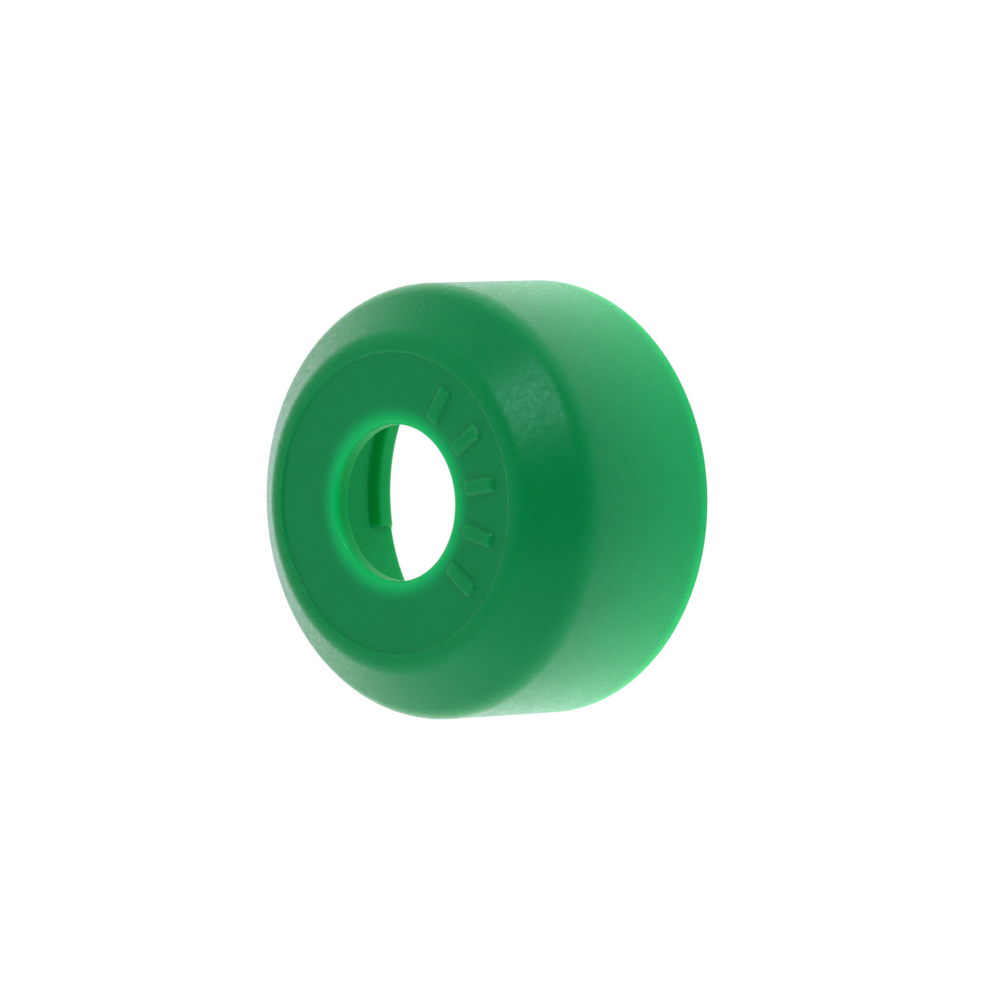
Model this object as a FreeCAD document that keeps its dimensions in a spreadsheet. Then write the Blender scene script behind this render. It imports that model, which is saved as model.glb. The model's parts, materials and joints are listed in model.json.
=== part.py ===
"""Clip-on collet cover for a 4 mm push-fit tube fitting, moulded in one piece.

The cover stands on its open rear rim. Z is the axis of the tube hole and
points out of the front wall. The origin is the centre of the rear rim, and
the raised marks are centred on -Y. Sizes are in millimetres and degrees.
"""
import FreeCAD, Part
import os

from FreeCAD import Placement, Rotation, Vector
import Sketcher

# Driving dimensions, one spreadsheet cell each.
SIZES = {
    # outside of the cap
    "overall_length": 6.15,      # rear rim to the band round the front face
    "rim_radius": 6.00,          # outside of the rear rim
    "skirt_draft": 0.05,         # how much the skirt narrows towards the front
    "cone_depth": 1.33,          # front chamfer, along the axis
    "cone_run": 1.48,            # front chamfer, across the axis
    "ring_margin": 0.39,         # band between the front face and the chamfer
    "ring_step": 0.04,           # how far the front face lies below that band
    # walls
    "front_wall": 0.76,
    "cone_wall": 0.65,
    "skirt_wall": 0.64,          # at the rim, above the lead-in
    "rim_land": 0.33,            # flat ring that the cap stands on
    "lead_in_depth": 0.35,
    # tube hole
    "bore_radius": 2.125,        # 4 mm tube with 0.125 mm clearance all round
    "bore_land": 0.45,           # straight wall and front rounding together
    "flare_run": 0.35,           # relief behind the land
    # snap lugs
    "lug_count": 3,
    "lug_span": 62,              # arc of one lug
    "lug_azimuth": 60,           # middle of the first lug, from +X
    "lug_height": 0.21,          # lug crest above the skirt's inside wall
    "lug_set_back": 1.21,        # rear rim to the front of the lug
    "lug_front_depth": 0.24,     # slope that holds the bead
    "lug_mouth_step": 0.06,      # lug proud of the rim's mouth
    "lug_root": 0.10,            # how far the lug reaches into the rim
    # raised marks
    "mark_count": 5,
    "mark_pitch": 24.5,          # angle from mark to mark
    "mark_width": 0.50,
    "mark_height": 0.10,
    "mark_bore_gap": 0.45,       # tube hole to the inner end of a mark
    "mark_ring_gap": 0.40,       # outer end of a mark to the band
    # roundings
    "front_round": 0.75,
    "shoulder_round": 0.85,
    "rim_round": 0.06,
    "bore_round": 0.15,
    "inside_round": 0.30,
    "mark_corner": 0.15,
    "mark_top_round": 0.04,
}

FIND_TOLERANCE = 1e-4   # for picking an edge by its place
ONE_END = 0.9           # share of a flat that one rounding may take
TWO_ENDS = 0.45         # share that each of two roundings may take

doc = FreeCAD.newDocument("collet_cover")
sheet = doc.addObject("Spreadsheet::Sheet", "Sizes")
for row, (alias, number) in enumerate(SIZES.items(), start=1):
    sheet.set(f"A{row}", alias)
    sheet.set(f"B{row}", str(number))
    sheet.setAlias(f"B{row}", alias)
doc.recompute()


def size(alias):
    """The number in a named cell."""
    return float(sheet.get(alias))


# Places worked out from the driving dimensions.
band = size("overall_length")
face = band - size("ring_step")
shoulder = band - size("cone_depth")
shoulder_radius = size("rim_radius") - size("skirt_draft")
cone_radius = shoulder_radius - size("cone_run")
ring_radius = cone_radius - size("ring_margin")
cavity_radius = size("rim_radius") - size("skirt_wall")
mouth_radius = size("rim_radius") - size("rim_land")

# The inside cone lies parallel to the chamfer, a cone wall behind it.
cone_slope = size("cone_depth") / size("cone_run")
cone_shift = size("cone_wall") * (1 + cone_slope ** 2) ** 0.5
cavity_top = face - size("front_wall")
cavity_shoulder = band - cone_shift - (cavity_radius - cone_radius) * cone_slope
cavity_top_radius = cone_radius + (band - cone_shift - cavity_top) / cone_slope

CAVITY_RADIUS = "Sizes.rim_radius - Sizes.skirt_wall"
MOUTH_RADIUS = "Sizes.rim_radius - Sizes.rim_land"
RING_RADIUS = "Sizes.rim_radius - Sizes.skirt_draft - Sizes.cone_run - Sizes.ring_margin"
MARK_INNER = "Sizes.bore_radius + Sizes.mark_bore_gap"
MARK_OUTER = f"{RING_RADIUS} - Sizes.mark_ring_gap"
# A lug's lead-in slope is parallel to the rim's, so the lug stays proud of it.
LUG_MOUTH = f"{MOUTH_RADIUS} - Sizes.lug_mouth_step"
LUG_LEAD_IN = (f"({LUG_MOUTH} - ({CAVITY_RADIUS} - Sizes.lug_height))"
               f" * Sizes.lead_in_depth / ({MOUTH_RADIUS} - ({CAVITY_RADIUS}))")
FIRST_MARK = "-90 - Sizes.mark_pitch * (Sizes.mark_count - 1) / 2"


def new_sketch(body, name, plane_role):
    """An empty sketch on one of the body's own origin planes."""
    plane = next(item for item in body.Origin.OriginFeatures if item.Role == plane_role)
    sketch = body.newObject("Sketcher::SketchObject", name)
    sketch.AttachmentSupport = [(plane, "")]
    sketch.MapMode = "FlatFace"
    return sketch


def draw_outline(sketch, corners):
    """Closed outline of straight lines. Line i starts at corner i."""
    ends = corners[1:] + corners[:1]
    for (x0, y0), (x1, y1) in zip(corners, ends):
        sketch.addGeometry(Part.LineSegment(Vector(x0, y0, 0), Vector(x1, y1, 0)), False)
    for line in range(len(corners)):
        following = (line + 1) % len(corners)
        sketch.addConstraint(Sketcher.Constraint("Coincident", line, 2, following, 1))


def straighten(sketch, horizontal, vertical):
    """Hold the listed lines level or upright."""
    for line in horizontal:
        sketch.addConstraint(Sketcher.Constraint("Horizontal", line))
    for line in vertical:
        sketch.addConstraint(Sketcher.Constraint("Vertical", line))


def dimension(sketch, kind, name, start, end, formula=None):
    """A named distance from one corner to another, tied to the sheet.

    start and end are numbers of corners, and a start of None is the origin.
    Without a formula the name is also the cell's alias.
    """
    first = (-1, 1) if start is None else (start, 1)
    reach = sketch.getPoint(end, 1) - sketch.getPoint(*first)
    length = reach.x if kind == "DistanceX" else reach.y
    number = sketch.addConstraint(Sketcher.Constraint(kind, *first, end, 1, length))
    sketch.renameConstraint(number, name)
    sketch.setExpression(f"Constraints.{name}", formula or f"Sizes.{name}")


def check_sketch(sketch):
    """Stop if a sketch isn't fully and cleanly constrained."""
    if sketch.solve() != 0 or not sketch.FullyConstrained:
        raise RuntimeError(f"{sketch.Name} isn't fully constrained")


def check_growth(feature, volume_before):
    """Stop if a feature that should add material didn't."""
    doc.recompute()
    if feature.Shape.Volume - volume_before < FIND_TOLERANCE:
        raise RuntimeError(f"{feature.Name} adds nothing")


def round_edges(body, name, wanted, formula):
    """Round the edges of the body's tip that wanted() accepts."""
    doc.recompute()
    base = body.Tip
    names = [f"Edge{i}" for i, edge in enumerate(base.Shape.Edges, start=1) if wanted(edge)]
    if not names:
        raise RuntimeError(f"{name} finds no edge")
    fillet = body.newObject("PartDesign::Fillet", name)
    fillet.Base = (base, names)
    fillet.setExpression("Radius", formula)
    body.Tip = fillet


def ring_edge(radius, height):
    """Test for a circle about Z with this radius at this height."""
    def wanted(edge):
        box = edge.BoundBox
        level = box.ZLength < FIND_TOLERANCE and abs(box.ZMin - height) < FIND_TOLERANCE
        round_edge = level and isinstance(edge.Curve, Part.Circle)
        return round_edge and abs(edge.Curve.Radius - radius) < FIND_TOLERANCE
    return wanted


def wall_section(body):
    """Half section of the front wall, chamfer and skirt. X is the radius."""
    corners = [
        (size("bore_radius"), face - size("bore_land")),        # 0 tube hole, rear
        (size("bore_radius"), face),                            # 1 tube hole, front
        (ring_radius, face),                                    # 2 sloping step to the band
        (ring_radius + size("ring_step"), band),                # 3 band
        (cone_radius, band),                                    # 4 chamfer
        (shoulder_radius, shoulder),                            # 5 shoulder
        (size("rim_radius"), 0),                                # 6 rim, outside
        (mouth_radius, 0),                                      # 7 rim, inside
        (cavity_radius, size("lead_in_depth")),                 # 8 skirt, inside
        (cavity_radius, cavity_shoulder),                       # 9 inside cone
        (cavity_top_radius, cavity_top),                        # 10
        (size("bore_radius") + size("flare_run"), cavity_top),  # 11 relief
    ]
    sketch = new_sketch(body, "wall_section", "XZ_Plane")
    draw_outline(sketch, corners)
    straighten(sketch, horizontal=(1, 3, 6, 10), vertical=(0, 8))
    sketch.addConstraint(Sketcher.Constraint("PointOnObject", 6, 1, -1))
    dimension(sketch, "DistanceX", "bore_radius", None, 0)
    dimension(sketch, "DistanceX", "rim_radius", None, 6)
    dimension(sketch, "DistanceY", "overall_length", 6, 3)
    dimension(sketch, "DistanceY", "bore_land", 0, 1)
    dimension(sketch, "DistanceX", "flare_run", 0, 11)
    dimension(sketch, "DistanceY", "ring_step", 2, 3)
    dimension(sketch, "DistanceX", "step_run", 2, 3, "Sizes.ring_step")
    dimension(sketch, "DistanceX", "ring_margin", 2, 4)
    dimension(sketch, "DistanceY", "cone_depth", 5, 4)
    dimension(sketch, "DistanceX", "cone_run", 4, 5)
    dimension(sketch, "DistanceX", "skirt_draft", 5, 6)
    dimension(sketch, "DistanceX", "rim_land", 7, 6)
    dimension(sketch, "DistanceX", "skirt_wall", 8, 6)
    dimension(sketch, "DistanceY", "lead_in_depth", 7, 8)
    dimension(sketch, "DistanceY", "front_wall", 10, 1)
    sketch.addConstraint(Sketcher.Constraint("Parallel", 9, 4))
    wall = sketch.addConstraint(Sketcher.Constraint("Distance", 9, 1, 4, size("cone_wall")))
    sketch.renameConstraint(wall, "cone_wall")
    sketch.setExpression("Constraints.cone_wall", "Sizes.cone_wall")
    check_sketch(sketch)
    return sketch


def add_wall(body):
    """Turn the wall's section into the cap and round its edges."""
    sketch = wall_section(body)
    wall = body.newObject("PartDesign::Revolution", "wall")
    wall.Profile = sketch
    wall.ReferenceAxis = (sketch, ["V_Axis"])
    wall.Angle = 360
    check_growth(wall, 0)

    half_turn = "tan(atan(Sizes.cone_depth / Sizes.cone_run) / 2)"
    band_width = "(Sizes.ring_margin - Sizes.ring_step)"
    round_edges(body, "shoulder_rounding", ring_edge(shoulder_radius, shoulder), "Sizes.shoulder_round")
    round_edges(body, "front_rounding", ring_edge(cone_radius, band),
                f"min(Sizes.front_round; {ONE_END} * {band_width} / {half_turn})")
    round_edges(body, "rim_rounding", ring_edge(size("rim_radius"), 0), "Sizes.rim_round")
    round_edges(body, "bore_rounding", ring_edge(size("bore_radius"), face),
                f"min(Sizes.bore_round; {ONE_END} * Sizes.bore_land)")
    round_edges(body, "cavity_shoulder_rounding", ring_edge(cavity_radius, cavity_shoulder),
                "Sizes.inside_round")
    round_edges(body, "cavity_top_rounding", ring_edge(cavity_top_radius, cavity_top),
                "Sizes.inside_round")


def lug_section(body):
    """Section of a snap lug, in the half plane through the first lug's middle."""
    crest_radius = cavity_radius - size("lug_height")
    crest_top = size("lug_set_back") - size("lug_front_depth")
    lug_mouth = mouth_radius - size("lug_mouth_step")
    lead_in_slope = size("lead_in_depth") / (mouth_radius - cavity_radius)
    corners = [
        (cavity_radius, size("lug_set_back")),                          # 0 front slope, at the wall
        (crest_radius, crest_top),                                      # 1 crest
        (crest_radius, (lug_mouth - crest_radius) * lead_in_slope),     # 2 lead-in slope
        (lug_mouth, 0),                                                 # 3 at the rim
        (mouth_radius + size("lug_root"), 0),                           # 4 within the rim
        (mouth_radius + size("lug_root"), size("lug_set_back")),        # 5
    ]
    sketch = new_sketch(body, "lug_section", "XZ_Plane")
    turned = Rotation(Vector(0, 1, 0), size("lug_azimuth"))
    sketch.AttachmentOffset = Placement(Vector(0, 0, 0), turned)
    sketch.setExpression("AttachmentOffset.Rotation.Angle", "Sizes.lug_azimuth")
    draw_outline(sketch, corners)
    straighten(sketch, horizontal=(3, 5), vertical=(1, 4))
    sketch.addConstraint(Sketcher.Constraint("PointOnObject", 4, 1, -1))
    dimension(sketch, "DistanceX", "wall_radius", None, 0, CAVITY_RADIUS)
    dimension(sketch, "DistanceX", "lug_height", 1, 0)
    dimension(sketch, "DistanceY", "lug_set_back", 4, 0)
    dimension(sketch, "DistanceY", "lug_front_depth", 1, 0)
    dimension(sketch, "DistanceY", "lug_lead_in", 3, 2, LUG_LEAD_IN)
    dimension(sketch, "DistanceX", "lug_mouth", None, 3, LUG_MOUTH)
    dimension(sketch, "DistanceX", "lug_back", None, 4, f"{MOUTH_RADIUS} + Sizes.lug_root")
    check_sketch(sketch)
    return sketch


def add_lugs(body):
    """Snap lugs inside the skirt, evenly spaced."""
    doc.recompute()
    bare_volume = body.Tip.Shape.Volume
    sketch = lug_section(body)
    lug = body.newObject("PartDesign::Revolution", "snap_lug")
    lug.Profile = sketch
    lug.ReferenceAxis = (sketch, ["V_Axis"])
    lug.Midplane = True
    lug.setExpression("Angle", "Sizes.lug_span")
    check_growth(lug, bare_volume)
    single_volume = lug.Shape.Volume

    pattern = body.newObject("PartDesign::PolarPattern", "snap_lugs")
    pattern.Originals = [lug]
    pattern.Axis = (sketch, ["V_Axis"])
    pattern.Angle = 360
    pattern.setExpression("Occurrences", "Sizes.lug_count")
    body.Tip = pattern
    check_growth(pattern, single_volume)


def mark_outline(body):
    """Outline of the first mark, on the front face."""
    inner = size("bore_radius") + size("mark_bore_gap")
    outer = ring_radius - size("mark_ring_gap")
    half_width = size("mark_width") / 2
    first_mark = -90 - size("mark_pitch") * (size("mark_count") - 1) / 2
    sketch = new_sketch(body, "mark_outline", "XY_Plane")
    turned = Rotation(Vector(0, 0, 1), first_mark)
    sketch.AttachmentOffset = Placement(Vector(0, 0, face), turned)
    sketch.setExpression("AttachmentOffset.Base.z", "Sizes.overall_length - Sizes.ring_step")
    sketch.setExpression("AttachmentOffset.Rotation.Yaw", FIRST_MARK)
    draw_outline(sketch, [(inner, -half_width), (outer, -half_width),
                          (outer, half_width), (inner, half_width)])
    straighten(sketch, horizontal=(0, 2), vertical=(1,))
    sketch.addConstraint(Sketcher.Constraint("Symmetric", 0, 1, 3, 1, -1))
    dimension(sketch, "DistanceX", "inner_end", None, 0, MARK_INNER)
    dimension(sketch, "DistanceX", "outer_end", None, 1, MARK_OUTER)
    dimension(sketch, "DistanceY", "mark_width", 0, 3)
    check_sketch(sketch)
    return sketch


def add_marks(body):
    """Raised bars on the front face, on an arc about the tube hole."""
    doc.recompute()
    bare_volume = body.Tip.Shape.Volume
    sketch = mark_outline(body)
    mark = body.newObject("PartDesign::Pad", "mark")
    mark.Profile = sketch
    mark.setExpression("Length", "Sizes.mark_height")
    check_growth(mark, bare_volume)
    single_volume = mark.Shape.Volume

    pattern = body.newObject("PartDesign::PolarPattern", "marks")
    pattern.Originals = [mark]
    pattern.Axis = (sketch, ["N_Axis"])
    pattern.Mode = "Spacing"
    pattern.setExpression("Offset", "Sizes.mark_pitch")
    pattern.setExpression("Occurrences", "Sizes.mark_count")
    body.Tip = pattern
    check_growth(pattern, single_volume)

    def is_corner(edge):
        """An upright edge of a mark."""
        box = edge.BoundBox
        upright = abs(box.ZLength - edge.Length) < FIND_TOLERANCE
        return upright and box.ZMin > face - FIND_TOLERANCE

    def is_top(edge):
        """An edge of a mark's top face."""
        return edge.BoundBox.ZMin > face + size("mark_height") - FIND_TOLERANCE

    narrowest = f"min(Sizes.mark_width; {MARK_OUTER} - ({MARK_INNER}))"
    round_edges(body, "mark_corners", is_corner, f"min(Sizes.mark_corner; {TWO_ENDS} * {narrowest})")
    round_edges(body, "mark_tops", is_top,
                f"min(Sizes.mark_top_round; {TWO_ENDS} * {narrowest}; {ONE_END} * Sizes.mark_height)")


def check_model(document):
    """Stop on any failed feature or bad solid, before anything is written."""
    document.recompute()
    for item in document.Objects:
        if "Invalid" in item.State or "Error" in item.State:
            raise RuntimeError(f"{item.Name} failed: {item.State}")
        if item.TypeId == "PartDesign::Body":
            shape = item.Shape
            if shape.isNull() or not shape.isValid() or len(shape.Solids) != 1:
                raise RuntimeError(f"{item.Label} isn't one valid solid")


cover = doc.addObject("PartDesign::Body", "Cover")
cover.Label = "collet_cover"
cover.Placement = Placement(Vector(0, 0, 0), Rotation())
add_wall(cover)
add_lugs(cover)
add_marks(cover)
check_model(doc)

os.makedirs("parts", exist_ok=True)
cover.Shape.exportStep(f"parts/{cover.Label}.step")
print(f"{cover.Label}: {cover.Shape.Volume:.2f} mm3")
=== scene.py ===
"""Looks of the clip-on collet cover: one moulded cap on a lit white table.

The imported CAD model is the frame. The cap is one fine mesh with the same section as the CAD
solid, its lugs and its raised bars, and it stands for the CAD node. Sizes in the dataclass
fields are in millimetres, and the meshes are in metres.
"""
import json
import logging
import math
from dataclasses import dataclass, field
from enum import Enum
from typing import Any, Sequence

import bpy
from mathutils import Matrix, Vector


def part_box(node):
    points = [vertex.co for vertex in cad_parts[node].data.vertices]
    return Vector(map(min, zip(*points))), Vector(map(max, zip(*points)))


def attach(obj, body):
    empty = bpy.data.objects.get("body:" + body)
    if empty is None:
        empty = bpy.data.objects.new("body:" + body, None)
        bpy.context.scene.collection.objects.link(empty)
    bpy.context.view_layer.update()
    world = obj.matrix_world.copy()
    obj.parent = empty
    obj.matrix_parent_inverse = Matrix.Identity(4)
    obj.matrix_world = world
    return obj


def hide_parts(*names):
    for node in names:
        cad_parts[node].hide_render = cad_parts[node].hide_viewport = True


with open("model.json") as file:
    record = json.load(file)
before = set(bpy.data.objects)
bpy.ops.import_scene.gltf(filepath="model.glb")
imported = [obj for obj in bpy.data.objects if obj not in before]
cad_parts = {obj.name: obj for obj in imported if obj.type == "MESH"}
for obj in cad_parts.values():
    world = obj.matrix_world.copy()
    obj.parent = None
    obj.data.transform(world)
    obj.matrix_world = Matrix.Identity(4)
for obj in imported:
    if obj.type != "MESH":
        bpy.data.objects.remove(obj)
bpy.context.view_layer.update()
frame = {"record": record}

MM = 0.001
NODE = "collet_cover"
BAR_HEIGHT = 0.10  # how far the raised bars stand proud, in millimetres
STRAIGHT = 1e-4  # a smaller turn, in radians, needs no rounding
END_SUPPORT = 0.02  # from the end of a run to its nearest point, in millimetres
SAME_LEVEL = 1e-6  # heights this close, in millimetres, are the same
ACETAL_IOR = 1.48
WHITE = (1.0, 1.0, 1.0, 1.0)
log = logging.getLogger(NODE)


class Zone(Enum):
    """Which finish a stretch of the cap's section has."""

    OUTSIDE = 0
    INSIDE = 1


@dataclass(frozen=True)
class Corner:
    """A corner of the cap's section, and the run that leaves it.

    Args:
        radius: distance from the axis.
        height: height above the rear rim.
        rounding: radius of the corner's rounding.
        spacing: longest distance between points on the run that leaves the corner.
        zone: finish of the corner's rounding and of that run.
    """

    radius: float
    height: float
    rounding: float
    spacing: float
    zone: Zone

    def place(self) -> Vector:
        """The corner as a point of the section's plane."""
        return Vector((self.radius, self.height))


@dataclass(frozen=True)
class SectionPoint:
    """A point of the finished section, with the finish of the stretch after it."""

    radius: float
    height: float
    zone: Zone


def smooth_step(low: float, high: float, value: float) -> float:
    """Ease from 0 at low to 1 at high.

    Args:
        low: value that gives 0. It may be above high.
        high: value that gives 1.
        value: the value to ease.

    Returns:
        A number from 0 to 1.
    """
    share = min(max((value - low) / (high - low), 0.0), 1.0)
    return share * share * (3 - 2 * share)


def interpolate(knots: Sequence[tuple[float, float]], value: float) -> float:
    """Straight-line interpolation between knots.

    Args:
        knots: (place, amount) pairs in rising order of place.
        value: the place to read.

    Returns:
        The amount there, or the end's amount beyond an end.
    """
    if value <= knots[0][0]:
        return knots[0][1]
    for (x0, y0), (x1, y1) in zip(knots, knots[1:]):
        if value <= x1:
            return y0 + (y1 - y0) * (value - x0) / (x1 - x0)
    return knots[-1][1]


def corner_arc(before: Corner, corner: Corner, after: Corner, turn_step: float) -> list[Vector]:
    """Points of a corner's rounding.

    Args:
        before: the corner before it.
        corner: the corner to round.
        after: the corner after it.
        turn_step: largest turn between two points, in radians.

    Returns:
        The arc's points, or the corner alone where the section runs straight on.
    """
    here = corner.place()
    back = (before.place() - here).normalized()
    ahead = (after.place() - here).normalized()
    half = back.angle(ahead) / 2
    turn = math.pi - 2 * half
    if turn < STRAIGHT:
        return [here]
    reach = corner.rounding / math.tan(half)
    centre = here + (back + ahead).normalized() * corner.rounding / math.sin(half)
    first = here + back * reach - centre
    last = here + ahead * reach - centre
    steps = max(2, math.ceil(turn / turn_step))
    return [centre + first.slerp(last, k / steps) * corner.rounding for k in range(steps + 1)]


def run_points(start: Vector, end: Vector, spacing: float) -> list[Vector]:
    """Points along a straight run, between its two roundings.

    Args:
        start: where the run starts.
        end: where it ends.
        spacing: longest distance between two points.

    Returns:
        The points, with one close to each end, so that a flat stays flat beside a rounding.
    """
    run = end - start
    if run.length < 3 * END_SUPPORT:
        return []
    along = run.normalized()
    inner = run.length - 2 * END_SUPPORT
    pieces = max(1, math.ceil(inner / spacing))
    return [start + along * (END_SUPPORT + inner * k / pieces) for k in range(pieces + 1)]


def rounded_section(corners: Sequence[Corner], turn_step: float) -> list[SectionPoint]:
    """Closed section with rounded corners and evenly spread points.

    Args:
        corners: the section's corners in order.
        turn_step: largest turn between two points of a rounding, in radians.

    Returns:
        The section's points in the same order.
    """
    count = len(corners)
    arcs = [corner_arc(corners[i - 1], corners[i], corners[(i + 1) % count], turn_step)
            for i in range(count)]
    section: list[SectionPoint] = []
    for i, (corner, arc) in enumerate(zip(corners, arcs)):
        run = run_points(arc[-1], arcs[(i + 1) % count][0], corner.spacing)
        section += [SectionPoint(place.x, place.y, corner.zone) for place in arc + run]
    return section


@dataclass
class SnapLugs:
    """Lugs inside the skirt that catch the fitting's bead.

    Args:
        crest: radius of the lugs' crest.
        wall: the skirt's inside radius.
        mouth: the rim's inside radius.
        lead_in: height of the rim's lead-in slope.
        middle: angle of the first lug's middle from +X, in degrees.
        span: arc of one lug, in degrees.
        count: how many lugs there are.
        set_back: height of the front of a lug above the rim.
        front_depth: height of the slope that holds the bead.
        mouth_step: how far a lug stands proud of the lead-in slope.
        end_ease: arc over which a lug's end rises, in degrees.
        end_steps: steps of the mesh over that arc.
        crest_ease: reach of the easing of a lug's corners.
    """

    crest: float
    wall: float
    mouth: float
    lead_in: float
    middle: float = 60.0
    span: float = 62.0
    count: int = 3
    set_back: float = 1.21
    front_depth: float = 0.24
    mouth_step: float = 0.06
    end_ease: float = 0.8
    end_steps: int = 6
    crest_ease: float = 0.03

    def middles(self) -> list[float]:
        """Angles of the lugs' middles, in degrees."""
        return [self.middle + 360 / self.count * k for k in range(self.count)]

    def angles(self) -> list[float]:
        """Where the mesh needs points for the lugs' ends.

        Returns:
            The angles, in degrees.
        """
        wanted: list[float] = []
        for middle in self.middles():
            for side in (-1, 1):
                end = middle + side * self.span / 2
                wanted += [end - side * self.end_ease * k / self.end_steps
                           for k in range(-1, self.end_steps + 2)]
        return wanted

    def share(self, angle: float) -> float:
        """How much of a lug's height stands at an angle.

        Args:
            angle: the angle from +X, in degrees.

        Returns:
            A share from 0 to 1.
        """
        gap = min(abs((angle - middle + 180) % 360 - 180) for middle in self.middles())
        half = self.span / 2
        return smooth_step(half, half - self.end_ease, gap)

    def rise(self, height: float) -> float:
        """How far a lug stands proud of the bare wall.

        Args:
            height: height above the rear rim.

        Returns:
            The rise towards the axis.
        """
        crest_height = self.wall - self.crest
        slope = self.lead_in / (self.mouth - self.wall)
        crest_low = (self.mouth - self.mouth_step - self.crest) * slope
        crest_high = self.set_back - self.front_depth
        knots = ((self.lead_in, self.mouth_step), (crest_low, crest_height),
                 (crest_high, crest_height), (self.set_back, 0.0))
        spread = (-1.0, -0.5, 0.0, 0.5, 1.0)
        samples = [interpolate(knots, height + self.crest_ease * k) for k in spread]
        return sum(samples) / len(samples)


@dataclass
class RaisedBars:
    """Plain raised bars on the front face, on an arc about the tube hole.

    Args:
        inner: radius of the bars' inner ends.
        outer: radius of the bars' outer ends.
        height: how far the bars stand proud.
        count: how many bars there are.
        middle: angle of the middle bar from +X, in degrees.
        pitch: angle from bar to bar, in degrees.
        width: width of a bar.
        corner: rounding of a bar's corners, seen from the front.
        flank: width of the sloping flank round a bar.
        reach: half of the arc that the mesh spends on a bar, in degrees.
        steps: steps of the mesh over that arc.
    """

    inner: float
    outer: float
    height: float
    count: int = 5
    middle: float = -90.0
    pitch: float = 24.5
    width: float = 0.50
    corner: float = 0.15
    flank: float = 0.12
    reach: float = 6.6
    steps: int = 32

    def middles(self) -> list[float]:
        """Angles of the bars' middles, in degrees."""
        return [self.middle + self.pitch * (k - (self.count - 1) / 2) for k in range(self.count)]

    def angles(self) -> list[float]:
        """Angles, in degrees, where the mesh needs points for the bars."""
        return [middle + self.reach * (2 * k / self.steps - 1)
                for middle in self.middles() for k in range(self.steps + 1)]

    def rise(self, x: float, y: float) -> float:
        """Height of the front face above its plain level.

        Args:
            x: where on the face, along X.
            y: where on the face, along Y.

        Returns:
            The rise of the bar there, or 0 between the bars.
        """
        half_length = (self.outer - self.inner) / 2
        nearest = math.inf
        for middle in self.middles():
            turn = math.radians(middle)
            along = x * math.cos(turn) + y * math.sin(turn) - (self.inner + half_length)
            across = y * math.cos(turn) - x * math.sin(turn)
            beyond_end = abs(along) - (half_length - self.corner)
            beyond_side = abs(across) - (self.width / 2 - self.corner)
            outside = math.hypot(max(beyond_end, 0), max(beyond_side, 0))
            nearest = min(nearest, outside + min(max(beyond_end, beyond_side), 0) - self.corner)
        return self.height * smooth_step(0.0, -self.flank, nearest)


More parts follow.
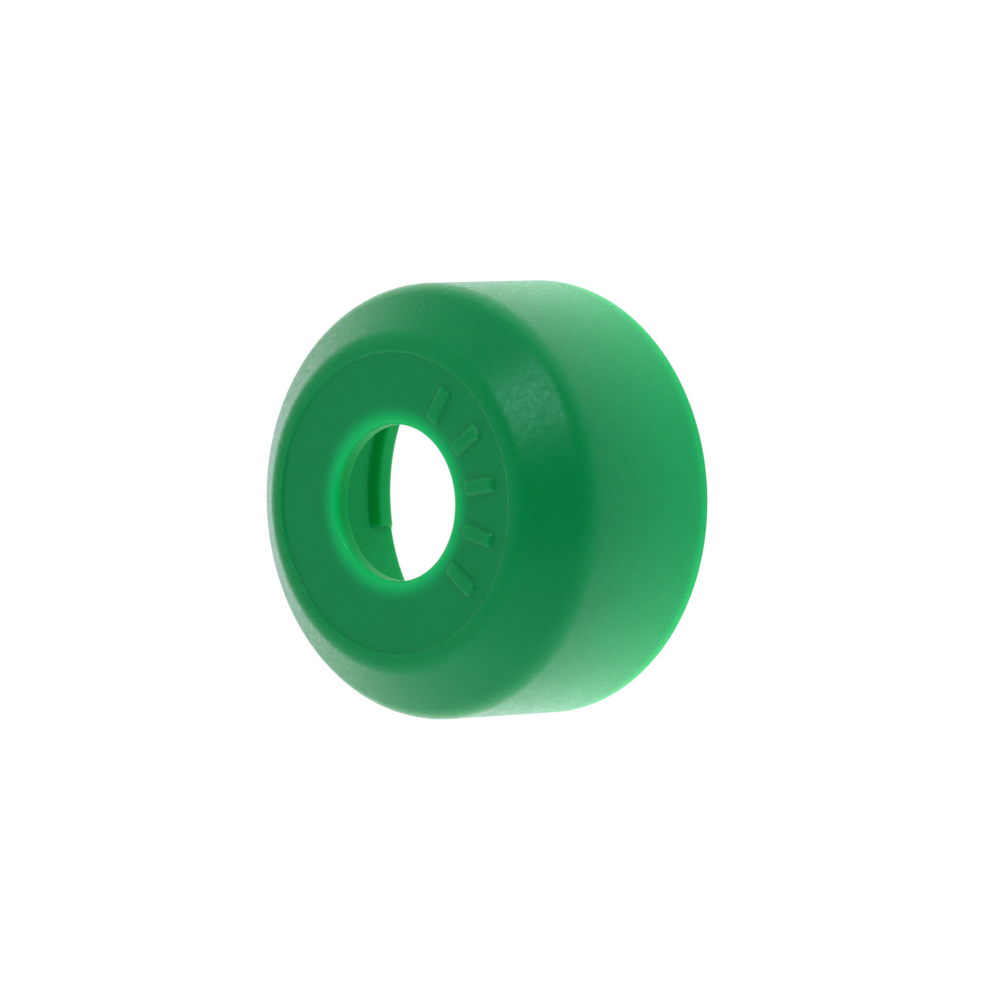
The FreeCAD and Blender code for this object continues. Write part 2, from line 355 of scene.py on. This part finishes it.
@dataclass
class CapShell:
    """The cap: front wall, chamfer, skirt, lugs and raised bars in one closed mesh.

    Args:
        length: rear rim to the band round the front face.
        rim: outside radius of the rear rim.
        bore: radius of the tube hole.
        crest: radius of the lugs' crest.
        bar_height: how far the raised bars stand proud.
        lead_in: height of the lead-in slope inside the rim.
        bore_round: rounding of the front face's edge at the tube hole.
        ring_round: rounding of the two edges of the step round the front face.
        front_round: rounding between that step's band and the chamfer.
        shoulder_round: rounding between the chamfer and the skirt.
        rim_round: rounding of the rim's outer edge.
        inside_round: rounding of the two corners inside.
        lug_margin: how far outside the mouth the wall still takes the lugs' shape.
        turn_step: largest turn between two points of a rounding, in radians.
        coarse_angle: angle between points where the cap is plain, in degrees.
        closest_angle: points nearer than this, in degrees, are taken as one.
        face: height of the front face.
        shoulder: radius of the skirt's front end.
        cone: radius of the chamfer's front end.
        ring: radius of the front face.
        wall: inside radius of the skirt.
        mouth: inside radius of the rim.
        lugs: the lugs inside the skirt.
        bars: the raised bars on the front face.

    The other fields are the CAD sizes of the same names.
    """

    length: float
    rim: float
    bore: float
    crest: float
    bar_height: float
    skirt_draft: float = 0.05
    cone_depth: float = 1.33
    cone_run: float = 1.48
    ring_margin: float = 0.39
    ring_step: float = 0.04
    front_wall: float = 0.76
    cone_wall: float = 0.65
    skirt_wall: float = 0.64
    rim_land: float = 0.33
    lead_in: float = 0.35
    bore_land: float = 0.45
    flare_run: float = 0.35
    mark_bore_gap: float = 0.45
    mark_ring_gap: float = 0.40
    bore_round: float = 0.15
    ring_round: float = 0.06
    front_round: float = 0.75
    shoulder_round: float = 0.85
    rim_round: float = 0.06
    inside_round: float = 0.30
    lug_margin: float = 0.04
    turn_step: float = math.radians(9)
    coarse_angle: float = 2.0
    closest_angle: float = 0.15
    face: float = field(init=False)
    shoulder: float = field(init=False)
    cone: float = field(init=False)
    ring: float = field(init=False)
    wall: float = field(init=False)
    mouth: float = field(init=False)
    lugs: SnapLugs = field(init=False)
    bars: RaisedBars = field(init=False)

    def __post_init__(self) -> None:
        """Work out the main heights and radii, and place the lugs and the bars."""
        self.face = self.length - self.ring_step
        self.shoulder = self.rim - self.skirt_draft
        self.cone = self.shoulder - self.cone_run
        self.ring = self.cone - self.ring_margin
        self.wall = self.rim - self.skirt_wall
        self.mouth = self.rim - self.rim_land
        self.lugs = SnapLugs(self.crest, self.wall, self.mouth, self.lead_in)
        self.bars = RaisedBars(self.bore + self.mark_bore_gap, self.ring - self.mark_ring_gap,
                               self.bar_height)

    def corners(self) -> list[Corner]:
        """Corners of the plain section.

        Returns:
            The corners, from the tube hole over the front, the skirt and the inside.
        """
        slope = self.cone_depth / self.cone_run
        inner_cone = self.length - self.cone_wall * math.hypot(1, slope)
        top = self.face - self.front_wall
        top_radius = self.cone + (inner_cone - top) / slope
        inner_shoulder = inner_cone - (self.wall - self.cone) * slope
        above_lugs = self.lugs.set_back + 2 * self.lugs.crest_ease
        flare = self.bore + self.flare_run
        step_end = self.ring + self.ring_step
        shoulder_height = self.length - self.cone_depth
        out, inside = Zone.OUTSIDE, Zone.INSIDE
        return [
            Corner(self.bore, self.face - self.bore_land, rounding=0.04, spacing=0.1, zone=inside),
            Corner(self.bore, self.face, self.bore_round, spacing=0.042, zone=out),
            Corner(self.ring, self.face, self.ring_round, spacing=0.1, zone=out),
            Corner(step_end, self.length, self.ring_round, spacing=0.1, zone=out),
            Corner(self.cone, self.length, self.front_round, spacing=0.3, zone=out),
            Corner(self.shoulder, shoulder_height, self.shoulder_round, spacing=0.6, zone=out),
            Corner(self.rim, 0.0, self.rim_round, spacing=0.15, zone=inside),
            Corner(self.mouth, 0.0, rounding=0.03, spacing=0.1, zone=inside),
            Corner(self.wall, self.lead_in, rounding=0.08, spacing=0.04, zone=inside),
            Corner(self.wall, above_lugs, rounding=0.0, spacing=0.5, zone=inside),
            Corner(self.wall, inner_shoulder, self.inside_round, spacing=0.3, zone=inside),
            Corner(top_radius, top, self.inside_round, spacing=0.4, zone=inside),
            Corner(flare, top, rounding=0.06, spacing=0.15, zone=inside),
        ]

    def angles(self) -> list[float]:
        """Angles of the mesh's half planes, closer where the shape needs it.

        Returns:
            The angles in rising order, in degrees.
        """
        fine = sorted(angle % 360 for angle in self.lugs.angles() + self.bars.angles())
        kept: list[float] = []
        for angle in fine:
            if not kept or angle - kept[-1] >= self.closest_angle:
                kept.append(angle)
        filled: list[float] = []
        for angle, following in zip(kept, kept[1:] + [kept[0] + 360]):
            pieces = math.ceil((following - angle) / self.coarse_angle)
            filled += [angle + (following - angle) * k / pieces for k in range(pieces)]
        return filled

    def place(self, point: SectionPoint, angle: float) -> tuple[float, float, float]:
        """A point of the cap's surface.

        Args:
            point: the point of the plain section.
            angle: the angle of its half plane, in degrees.

        Returns:
            Its place with the lugs and bars raised, in metres.
        """
        radius, height = point.radius, point.height
        turn = math.radians(angle)
        inner_side = point.zone is Zone.INSIDE and radius <= self.mouth + self.lug_margin
        if inner_side and height < self.lugs.set_back + self.lugs.crest_ease:
            radius -= self.lugs.share(angle) * self.lugs.rise(height)
        if abs(height - self.face) < SAME_LEVEL and self.bore < radius < self.ring:
            height += self.bars.rise(radius * math.cos(turn), radius * math.sin(turn))
        return radius * math.cos(turn) * MM, radius * math.sin(turn) * MM, height * MM

    def build(self) -> bpy.types.Object:
        """Make the cap's mesh, with its faces in the two zones.

        Returns:
            The cap.
        """
        section = rounded_section(self.corners(), self.turn_step)
        angles = self.angles()
        rows, columns = len(section), len(angles)
        vertices = [self.place(point, angle) for angle in angles for point in section]
        faces = []
        zones = []
        for j in range(columns):
            here, following = j * rows, (j + 1) % columns * rows
            for i in range(rows):
                after = (i + 1) % rows
                faces.append((here + i, here + after, following + after, following + i))
                zones.append(section[i].zone.value)
        mesh = bpy.data.meshes.new("cap")
        mesh.from_pydata(vertices, [], faces)
        mesh.polygons.foreach_set("material_index", zones)
        mesh.polygons.foreach_set("use_smooth", [True] * len(faces))
        mesh.update()
        cap = bpy.data.objects.new("cap", mesh)
        bpy.context.scene.collection.objects.link(cap)
        return cap

    def dress(self, cap: bpy.types.Object, effects: "PlasticEffects") -> None:
        """Give each zone of the cap its finish.

        Args:
            cap: the cap, with no material yet.
            effects: the shared node groups.
        """
        for zone in Zone:
            cap.data.materials.append(Finish[zone.name].value.build(effects))


Socket = bpy.types.NodeSocket
Tree = bpy.types.NodeTree


def add_node(tree: Tree, kind: str, **values: object) -> bpy.types.Node:
    """Add a node to a tree.

    Args:
        tree: the node tree.
        kind: the node's type name.
        values: properties of the node. A name that starts with in_ sets that input socket by
            number instead.

    Returns:
        The node.
    """
    node = tree.nodes.new(kind)
    for name, value in values.items():
        if name.startswith("in_"):
            node.inputs[int(name[3:])].default_value = value
        else:
            setattr(node, name, value)
    return node


def join(tree: Tree, *pairs: tuple[Socket, Socket]) -> None:
    """Link each pair of sockets, output first."""
    for output, target in pairs:
        tree.links.new(output, target)


def new_group(name: str, inputs: dict[str, float], outputs: Sequence[str]) -> Tree:
    """An empty shader node group with float sockets.

    Args:
        name: the group's name.
        inputs: each input's name and default value.
        outputs: the outputs' names.

    Returns:
        The group's tree, with its input and output nodes in it.
    """
    group = bpy.data.node_groups.new(name, "ShaderNodeTree")
    for label, value in inputs.items():
        entry = group.interface.new_socket(label, in_out="INPUT", socket_type="NodeSocketFloat")
        entry.default_value = value
    for label in outputs:
        group.interface.new_socket(label, in_out="OUTPUT", socket_type="NodeSocketFloat")
    group.nodes.new("NodeGroupInput")
    group.nodes.new("NodeGroupOutput")
    return group


@dataclass
class PlasticEffects:
    """Node groups that the plastic's two finishes share.

    Args:
        rim_ramp: painted light at the rim that fades slowly up the skirt.
        rim_edge: painted glow that is gone a short way above the rim.
        edge_reach: how far above the rim that is, in millimetres.
        grain: height and mask of the mould's grain.
        thin_wall: painted glow, a lighter base colour at the tube hole's edge and the rim.
        flow: faint clouds of pigment.
    """

    rim_ramp: float = 0.65
    rim_edge: float = 0.6
    edge_reach: float = 0.5
    grain: Tree = field(init=False)
    thin_wall: Tree = field(init=False)
    flow: Tree = field(init=False)

    def __post_init__(self) -> None:
        """Build the three groups."""
        self.grain = self.build_grain()
        self.thin_wall = self.build_thin_wall()
        self.flow = self.build_flow()

    def build_grain(self) -> Tree:
        """Fine lumps of a spark-eroded mould, as a height and a mask.

        Returns:
            The group.
        """
        group = new_group("mould_grain", {"Grains per mm": 8.0}, ("Height", "Mask"))
        start, end = group.nodes["Group Input"], group.nodes["Group Output"]
        place = add_node(group, "ShaderNodeTexCoord")
        scale = add_node(group, "ShaderNodeMath", operation="MULTIPLY", in_1=1 / MM)
        lumps = add_node(group, "ShaderNodeTexNoise", in_3=1.0, in_4=0.5)
        patches = add_node(group, "ShaderNodeTexNoise", in_3=3.0, in_4=0.6)
        join(group,
             (start.outputs["Grains per mm"], scale.inputs[0]),
             (place.outputs["Object"], lumps.inputs["Vector"]),
             (place.outputs["Object"], patches.inputs["Vector"]),
             (scale.outputs[0], lumps.inputs["Scale"]),
             (scale.outputs[0], patches.inputs["Scale"]),
             (lumps.outputs["Fac"], end.inputs["Height"]),
             (patches.outputs["Fac"], end.inputs["Mask"]))
        return group

    def build_thin_wall(self) -> Tree:
        """Masks of the painted glow: the tube hole's edge and the rim.

        Returns:
            The group.
        """
        group = new_group("thin_wall", {"Bore radius": 2.1, "Bore reach": 0.7, "Rim reach": 5.0},
                          ("Bore", "Rim"))
        start, end = group.nodes["Group Input"], group.nodes["Group Output"]
        place = add_node(group, "ShaderNodeTexCoord")
        parts = add_node(group, "ShaderNodeSeparateXYZ")
        flat = add_node(group, "ShaderNodeCombineXYZ")
        radius = add_node(group, "ShaderNodeVectorMath", operation="LENGTH")
        join(group,
             (place.outputs["Object"], parts.inputs[0]),
             (parts.outputs["X"], flat.inputs["X"]),
             (parts.outputs["Y"], flat.inputs["Y"]),
             (flat.outputs[0], radius.inputs[0]))
        # Painted glow at the tube hole's edge, fading out over the bore reach.
        in_mm = add_node(group, "ShaderNodeMath", operation="MULTIPLY", in_1=1 / MM)
        far = add_node(group, "ShaderNodeMath", operation="ADD")
        bore = add_node(group, "ShaderNodeMapRange", interpolation_type="SMOOTHERSTEP")
        bore.inputs["To Min"].default_value = 1.0
        bore.inputs["To Max"].default_value = 0.0
        join(group,
             (radius.outputs["Value"], in_mm.inputs[0]),
             (start.outputs["Bore radius"], far.inputs[0]),
             (start.outputs["Bore reach"], far.inputs[1]),
             (in_mm.outputs[0], bore.inputs["Value"]),
             (start.outputs["Bore radius"], bore.inputs["From Min"]),
             (far.outputs[0], bore.inputs["From Max"]),
             (bore.outputs["Result"], end.inputs["Bore"]))
        # Painted light, lighter towards the rim over the rim reach, and painted glow right at the
        # rim's edge.
        height = add_node(group, "ShaderNodeMath", operation="MULTIPLY", in_1=1 / MM)
        rim = add_node(group, "ShaderNodeMapRange")
        rim.inputs["To Min"].default_value = 1.0
        rim.inputs["To Max"].default_value = 0.0
        join(group,
             (parts.outputs["Z"], height.inputs[0]),
             (height.outputs[0], rim.inputs["Value"]),
             (start.outputs["Rim reach"], rim.inputs["From Max"]))
        edge = add_node(group, "ShaderNodeMapRange", interpolation_type="SMOOTHSTEP")
        edge.inputs["From Max"].default_value = self.edge_reach
        edge.inputs["To Min"].default_value = self.rim_edge
        edge.inputs["To Max"].default_value = 0.0
        both = add_node(group, "ShaderNodeMath", operation="MULTIPLY_ADD", in_1=self.rim_ramp)
        join(group,
             (height.outputs[0], edge.inputs["Value"]),
             (rim.outputs["Result"], both.inputs[0]),
             (edge.outputs["Result"], both.inputs[2]),
             (both.outputs[0], end.inputs["Rim"]))
        return group

    def build_flow(self) -> Tree:
        """Faint clouds of pigment.

        Returns:
            The group.
        """
        group = new_group("pigment_flow", {"Clouds per mm": 0.5}, ("Mask",))
        start, end = group.nodes["Group Input"], group.nodes["Group Output"]
        place = add_node(group, "ShaderNodeTexCoord")
        scale = add_node(group, "ShaderNodeMath", operation="MULTIPLY", in_1=1 / MM)
        clouds = add_node(group, "ShaderNodeTexNoise", in_3=2.0, in_4=0.5)
        join(group,
             (start.outputs["Clouds per mm"], scale.inputs[0]),
             (place.outputs["Object"], clouds.inputs["Vector"]),
             (scale.outputs[0], clouds.inputs["Scale"]),
             (clouds.outputs["Fac"], end.inputs["Mask"]))
        return group


Colour = tuple[float, float, float]


def linear(red: int, green: int, blue: int) -> Colour:
    """A screen colour, 0 to 255, as linear light."""
    shares = (value / 255 for value in (red, green, blue))
    return tuple(s / 12.92 if s <= 0.04045 else ((s + 0.055) / 1.055) ** 2.4 for s in shares)


@dataclass(frozen=True)
class MouldedPlastic:
    """A finish of the green acetal.

    Args:
        name: the material's name.
        colour: colour away from the painted glow.
        bright: colour of the painted glow at the tube hole's edge and the rim.
        glint: tint of what the surface mirrors when seen square on.
        gloss: how strongly it mirrors, 0.5 being bare plastic.
        bore_painted_glow: how far the tube hole's edge takes the painted glow colour.
        rim_glow: how far the rim and the skirt above it take the painted glow colour.
        roughness: roughness of the surface.
        mottle: how far the roughness strays either way.
        grain_size: grains per millimetre.
        grain_depth: depth of the grain, in millimetres.
        scatter: how much of the light travels under the surface.
        scatter_depth: how far it travels, in millimetres.
        scatter_shares: how far each of red, green and blue gets of that.
        clouds: how far the clouds of pigment lighten or darken the colour.
        grain_range: the grain's mask values that give the least and the most roughness.
        veil: weight of the pale veil that shows where the surface is seen at a slant.
        veil_tint: the veil's colour.
        veil_roughness: how widely the veil spreads.
    """

    name: str
    colour: Colour
    bright: Colour
    glint: Colour
    gloss: float
    bore_painted_glow: float
    rim_glow: float
    roughness: float
    mottle: float
    grain_size: float
    grain_depth: float
    scatter: float = 1.0
    scatter_depth: float = 0.8
    scatter_shares: Colour = (0.25, 1.0, 0.45)
    clouds: float = 0.06
    grain_range: tuple[float, float] = (0.3, 0.7)
    veil: float = 0.0
    veil_tint: Colour = (0.65, 0.8, 1.0)
    veil_roughness: float = 0.25

    def build(self, effects: PlasticEffects) -> bpy.types.Material:
        """Make the material.

        Args:
            effects: the shared node groups.

        Returns:
            The material.
        """
        material = bpy.data.materials.new(self.name)
        material.use_nodes = True
        tree = material.node_tree
        shader = tree.nodes["Principled BSDF"]
        shader.inputs["IOR"].default_value = ACETAL_IOR
        shader.inputs["Specular IOR Level"].default_value = self.gloss
        shader.inputs["Specular Tint"].default_value = (*self.glint, 1.0)
        shader.inputs["Sheen Weight"].default_value = self.veil
        shader.inputs["Sheen Roughness"].default_value = self.veil_roughness
        shader.inputs["Sheen Tint"].default_value = (*self.veil_tint, 1.0)
        shader.inputs["Subsurface Weight"].default_value = self.scatter
        shader.inputs["Subsurface Radius"].default_value = self.scatter_shares
        shader.inputs["Subsurface Scale"].default_value = self.scatter_depth * MM

        # Painted glow: the base colour is mixed towards the bright colour at the tube hole and the
        # rim.
        thin = add_node(tree, "ShaderNodeGroup", node_tree=effects.thin_wall)
        from_bore = add_node(tree, "ShaderNodeMath", operation="MULTIPLY", in_1=self.bore_painted_glow)
        from_rim = add_node(tree, "ShaderNodeMath", operation="MULTIPLY", in_1=self.rim_glow)
        glow = add_node(tree, "ShaderNodeMath", operation="MAXIMUM")
        tint = add_node(tree, "ShaderNodeMix", data_type="RGBA",
                        in_6=(*self.colour, 1.0), in_7=(*self.bright, 1.0))
        flow = add_node(tree, "ShaderNodeGroup", node_tree=effects.flow)
        shade = add_node(tree, "ShaderNodeMapRange")
        shade.inputs["To Min"].default_value = 1 - self.clouds
        shade.inputs["To Max"].default_value = 1 + self.clouds
        colour = add_node(tree, "ShaderNodeVectorMath", operation="SCALE")
        join(tree,
             (thin.outputs["Bore"], from_bore.inputs[0]),
             (thin.outputs["Rim"], from_rim.inputs[0]),
             (from_bore.outputs[0], glow.inputs[0]),
             (from_rim.outputs[0], glow.inputs[1]),
             (glow.outputs[0], tint.inputs[0]),
             (flow.outputs["Mask"], shade.inputs["Value"]),
             (tint.outputs[2], colour.inputs[0]),
             (shade.outputs["Result"], colour.inputs["Scale"]),
             (colour.outputs[0], shader.inputs["Base Color"]))

        grain = add_node(tree, "ShaderNodeGroup", node_tree=effects.grain)
        grain.inputs["Grains per mm"].default_value = self.grain_size
        satin = add_node(tree, "ShaderNodeMapRange")
        satin.inputs["From Min"].default_value = self.grain_range[0]
        satin.inputs["From Max"].default_value = self.grain_range[1]
        satin.inputs["To Min"].default_value = self.roughness - self.mottle
        satin.inputs["To Max"].default_value = self.roughness + self.mottle
        bump = add_node(tree, "ShaderNodeBump")
        bump.inputs["Distance"].default_value = self.grain_depth * MM
        join(tree,
             (grain.outputs["Mask"], satin.inputs["Value"]),
             (satin.outputs["Result"], shader.inputs["Roughness"]),
             (grain.outputs["Height"], bump.inputs["Height"]),
             (bump.outputs["Normal"], shader.inputs["Normal"]))
        return material


class Finish(Enum):
    """The finish of each zone, all in the one plastic, with the inside's colours painted lighter
    as painted light in the cavity.
    """

    OUTSIDE = MouldedPlastic("green_satin_outside", linear(4, 156, 84), linear(14, 217, 126),
                             (0.28, 0.60, 0.60), gloss=0.48, bore_painted_glow=0.75, rim_glow=1.0,
                             roughness=0.32, mottle=0.12, grain_size=8.0, grain_depth=0.006,
                             veil=0.30)
    # A lighter copy of the outside colours: painted light inside the cavity.
    INSIDE = MouldedPlastic("green_smooth_inside_painted_light", linear(6, 183, 104), linear(10, 196, 108),
                            (0.05, 1.0, 0.6), gloss=0.22, bore_painted_glow=0.5, rim_glow=0.6,
                            roughness=0.38, mottle=0.04, grain_size=10.0, grain_depth=0.0015)


@dataclass(frozen=True)
class SoftLight:
    """A round softbox that looks at the cap.

    Args:
        name: the light's name.
        azimuth: angle of its place from +X, in degrees.
        elevation: angle of its place above the table, in degrees.
        distance: distance from the cap, in millimetres.
        width: diameter of the panel, in millimetres.
        power: power in watts.
    """

    name: str
    azimuth: float
    elevation: float
    distance: float
    width: float
    power: float

    def build(self, target: Vector) -> bpy.types.Object:
        """Hang the light so that it points at the target.

        Args:
            target: the point it looks at, in metres.

        Returns:
            The light.
        """
        turn, rise = math.radians(self.azimuth), math.radians(self.elevation)
        away = Vector((math.cos(turn) * math.cos(rise), math.sin(turn) * math.cos(rise),
                       math.sin(rise)))
        data = bpy.data.lights.new(self.name, "AREA")
        data.shape = "DISK"
        data.size = self.width * MM
        data.energy = self.power
        light = bpy.data.objects.new(self.name, data)
        light.location = target + away * self.distance * MM
        light.rotation_euler = (-away).to_track_quat("-Z", "Y").to_euler()
        bpy.context.scene.collection.objects.link(light)
        return light


@dataclass(frozen=True)
class Surround:
    """How strongly a part of the surroundings lights the cap.

    Args:
        plain: strength from most directions.
        left: what is added at the -X side.
        right: what is added at the +X side.
        back: what is added at the +Y side.
        shade: how much of the plain light is missing on the side of the camera.
    """

    plain: float
    left: float
    right: float
    back: float
    shade: float


@dataclass
class Studio:
    """White table, white surroundings and one softbox.

    Args:
        middle: the middle of the cap, in metres.
        table_size: side of the table, in millimetres.
        table: light that the table gives.
        room: light that the surroundings give.
        table_gap: how far the table lies below the rim, in millimetres.
        painted_shadow_share: share of the table's light that is left under the cap, a painted
            shadow.
        cover_edge: radii where that painted shadow starts to fade and has faded, in millimetres.
        side_start: how far towards a bright side its light starts, from 0 to 1.
        dim_side: the direction that sends the least light.
        lights: the softboxes.
    """

    middle: Vector
    table_size: float = 2400.0
    table: Surround = Surround(plain=0.88, left=0.42, right=0.32, back=0.25, shade=0.36)
    room: Surround = Surround(plain=0.60, left=0.75, right=0.0, back=0.0, shade=0.85)
    table_gap: float = 0.002
    painted_shadow_share: float = 0.75
    cover_edge: tuple[float, float] = (5.2, 6.8)
    side_start: float = 0.1
    dim_side: tuple[float, float, float] = (-0.05, -0.75, 0.66)
    lights: Sequence[SoftLight] = (SoftLight("key_softbox", -41.0, 40.0, 200.0, 100.0, 0.12),)

    def build_sides(self) -> Tree:
        """Node group for how far a direction points to each bright side and the dim one.

        Returns:
            The group.
        """
        group = new_group("sides", {}, ("Left", "Right", "Back", "Dim"))
        group.interface.new_socket("Direction", in_out="INPUT", socket_type="NodeSocketVector")
        start, end = group.nodes["Group Input"], group.nodes["Group Output"]
        unit = add_node(group, "ShaderNodeVectorMath", operation="NORMALIZE")
        parts = add_node(group, "ShaderNodeSeparateXYZ")
        join(group,
             (start.outputs["Direction"], unit.inputs[0]),
             (unit.outputs[0], parts.inputs[0]))
        for side, axis, sign in (("Left", "X", -1.0), ("Right", "X", 1.0), ("Back", "Y", 1.0)):
            share = add_node(group, "ShaderNodeMapRange", interpolation_type="SMOOTHSTEP")
            share.inputs["From Min"].default_value = self.side_start * sign
            share.inputs["From Max"].default_value = sign
            join(group,
                 (parts.outputs[axis], share.inputs["Value"]),
                 (share.outputs["Result"], end.inputs[side]))
        toward = add_node(group, "ShaderNodeVectorMath", operation="DOT_PRODUCT",
                          in_1=self.dim_side)
        dim = add_node(group, "ShaderNodeMapRange", interpolation_type="SMOOTHSTEP")
        join(group,
             (unit.outputs[0], toward.inputs[0]),
             (toward.outputs["Value"], dim.inputs["Value"]),
             (dim.outputs["Result"], end.inputs["Dim"]))
        return group

    def strength(self, tree: Tree, sides: Tree, coordinate: str, surround: Surround) -> Socket:
        """Nodes for the strength of the surroundings' light.

        Args:
            tree: the tree to add them to.
            sides: the group of the bright sides and the dim one.
            coordinate: which texture coordinate gives the direction.
            surround: the strengths.

        Returns:
            The socket with the strength.
        """
        place = add_node(tree, "ShaderNodeTexCoord")
        group = add_node(tree, "ShaderNodeGroup", node_tree=sides)
        total = None
        join(tree, (place.outputs[coordinate], group.inputs["Direction"]))
        for side, amount in (("Dim", -surround.shade * surround.plain),
                             ("Left", surround.left), ("Right", surround.right),
                             ("Back", surround.back)):
            step = add_node(tree, "ShaderNodeMath", operation="MULTIPLY_ADD",
                            in_1=amount, in_2=surround.plain)
            join(tree, (group.outputs[side], step.inputs[0]))
            if total is not None:
                join(tree, (total, step.inputs[2]))
            total = step.outputs[0]
        return total

    def build_table(self, sides: Tree) -> bpy.types.Object:
        """A plain white table a hair under the cap's rim, whose light has a painted shadow under
        the cap.

        Args:
            sides: the group of the bright sides and the dim one.

        Returns:
            The table.
        """
        half = self.table_size * MM / 2
        top = -self.table_gap * MM
        mesh = bpy.data.meshes.new("table")
        corners = [(-half, -half, top), (half, -half, top), (half, half, top), (-half, half, top)]
        mesh.from_pydata(corners, [], [(0, 1, 2, 3)])
        table = bpy.data.objects.new("table", mesh)
        bpy.context.scene.collection.objects.link(table)
        material = bpy.data.materials.new("table_white")
        material.use_nodes = True
        tree = material.node_tree
        tree.nodes.remove(tree.nodes["Principled BSDF"])
        seen = add_node(tree, "ShaderNodeEmission")
        lighting = add_node(tree, "ShaderNodeEmission")
        place = add_node(tree, "ShaderNodeTexCoord")
        # Painted shadow: the table gives less light under the cap.
        reach = add_node(tree, "ShaderNodeVectorMath", operation="LENGTH")
        painted_shadow = add_node(tree, "ShaderNodeMapRange", interpolation_type="SMOOTHSTEP")
        painted_shadow.inputs["From Min"].default_value = self.cover_edge[0] * MM
        painted_shadow.inputs["From Max"].default_value = self.cover_edge[1] * MM
        painted_shadow.inputs["To Min"].default_value = self.painted_shadow_share
        dimmed = add_node(tree, "ShaderNodeMath", operation="MULTIPLY")
        choice = add_node(tree, "ShaderNodeMixShader")
        rays = add_node(tree, "ShaderNodeLightPath")
        join(tree,
             (place.outputs["Object"], reach.inputs[0]),
             (reach.outputs["Value"], painted_shadow.inputs["Value"]),
             (painted_shadow.outputs["Result"], dimmed.inputs[0]),
             (self.strength(tree, sides, "Object", self.table), dimmed.inputs[1]),
             (dimmed.outputs[0], lighting.inputs["Color"]),
             (rays.outputs["Is Camera Ray"], choice.inputs[0]),
             (lighting.outputs[0], choice.inputs[1]),
             (seen.outputs[0], choice.inputs[2]),
             (choice.outputs[0], tree.nodes["Material Output"].inputs["Surface"]))
        table.data.materials.append(material)
        return table

    def build_room(self, sides: Tree) -> None:
        """Soft surroundings, seen as pure white.

        Args:
            sides: the group of the bright sides and the dim one.
        """
        world = bpy.data.worlds.new("room")
        bpy.context.scene.world = world
        world.use_nodes = True
        tree = world.node_tree
        tree.nodes.remove(tree.nodes["Background"])
        seen = add_node(tree, "ShaderNodeBackground", in_0=WHITE, in_1=1.0)
        lighting = add_node(tree, "ShaderNodeBackground", in_1=1.0)
        choice = add_node(tree, "ShaderNodeMixShader")
        rays = add_node(tree, "ShaderNodeLightPath")
        join(tree,
             (self.strength(tree, sides, "Generated", self.room), lighting.inputs["Color"]),
             (rays.outputs["Is Camera Ray"], choice.inputs[0]),
             (lighting.outputs[0], choice.inputs[1]),
             (seen.outputs[0], choice.inputs[2]),
             (choice.outputs[0], tree.nodes["World Output"].inputs["Surface"]))

    def build(self) -> None:
        """Set up the table, the surroundings and the softboxes."""
        sides = self.build_sides()
        self.build_table(sides)
        self.build_room(sides)
        for light in self.lights:
            light.build(self.middle)
        bpy.context.scene.view_settings.view_transform = "Standard"


@dataclass
class Camera:
    """The main camera, which looks down on the front with the cap's axis level.

    Args:
        aim: the point it looks at, in millimetres.
        azimuth: where it stands: 0 looks along +Y and 90 along -X, in degrees.
        elevation: how far above the table it stands, in degrees.
        roll: how far it is turned about its own axis, in degrees.
        distance: distance from the aim, in millimetres.
        lens: focal length, in millimetres.
        sensor: width of the sensor, in millimetres.
        clip: the nearest and the farthest that it sees, in metres.
    """

    aim: tuple[float, float, float] = (-0.121, -0.656, 2.497)
    azimuth: float = -6.27
    elevation: float = 48.99
    roll: float = 92.55
    distance: float = 183.8
    lens: float = 241.4
    sensor: float = 36.0
    clip: tuple[float, float] = (0.01, 5.0)

    def build(self) -> bpy.types.Object:
        """Make the camera and give it to the scene.

        Returns:
            The camera.
        """
        turn, rise = math.radians(self.azimuth), math.radians(self.elevation)
        back = Vector((math.sin(turn) * math.cos(rise), -math.cos(turn) * math.cos(rise),
                       math.sin(rise)))
        data = bpy.data.cameras.new("camera")
        data.lens = self.lens
        data.sensor_width = self.sensor
        data.clip_start, data.clip_end = self.clip
        camera = bpy.data.objects.new("camera", data)
        level = (-back).to_track_quat("-Z", "Y").to_matrix()
        rolled = level @ Matrix.Rotation(-math.radians(self.roll), 3, "Z")
        stand = Vector(self.aim) * MM + back * self.distance * MM
        camera.matrix_world = Matrix.LocRotScale(stand, rolled, None)
        bpy.context.scene.collection.objects.link(camera)
        bpy.context.scene.camera = camera
        return camera


def mount(name: str) -> dict[str, Any]:
    """The record's entry for a mount."""
    return next(entry for entry in frame["record"]["mounts"] if entry["name"] == name)


def main() -> None:
    """Build the cap and its studio in order."""
    logging.basicConfig(level=logging.INFO, format="%(name)s: %(message)s")
    low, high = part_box(NODE)
    face = high.z / MM - BAR_HEIGHT
    shell = CapShell(length=face + CapShell.ring_step, rim=min(high.x, high.y) / MM,
                     bore=mount("tube_bore")["dims"]["r_mm"],
                     crest=mount("lug_clamp")["dims"]["r_mm"], bar_height=BAR_HEIGHT)
    cap = shell.build()
    shell.dress(cap, PlasticEffects())
    log.info("%s has %d faces in %d finishes", cap.name, len(cap.data.polygons),
             len(cap.data.materials))
    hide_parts(NODE)
    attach(cap, "root")

    studio = Studio((low + high) / 2)
    studio.build()
    log.info("the studio has %d softbox", len(studio.lights))
    camera = Camera().build()
    log.info("%s is in place", camera.name)


if __name__ == "__main__":
    main()
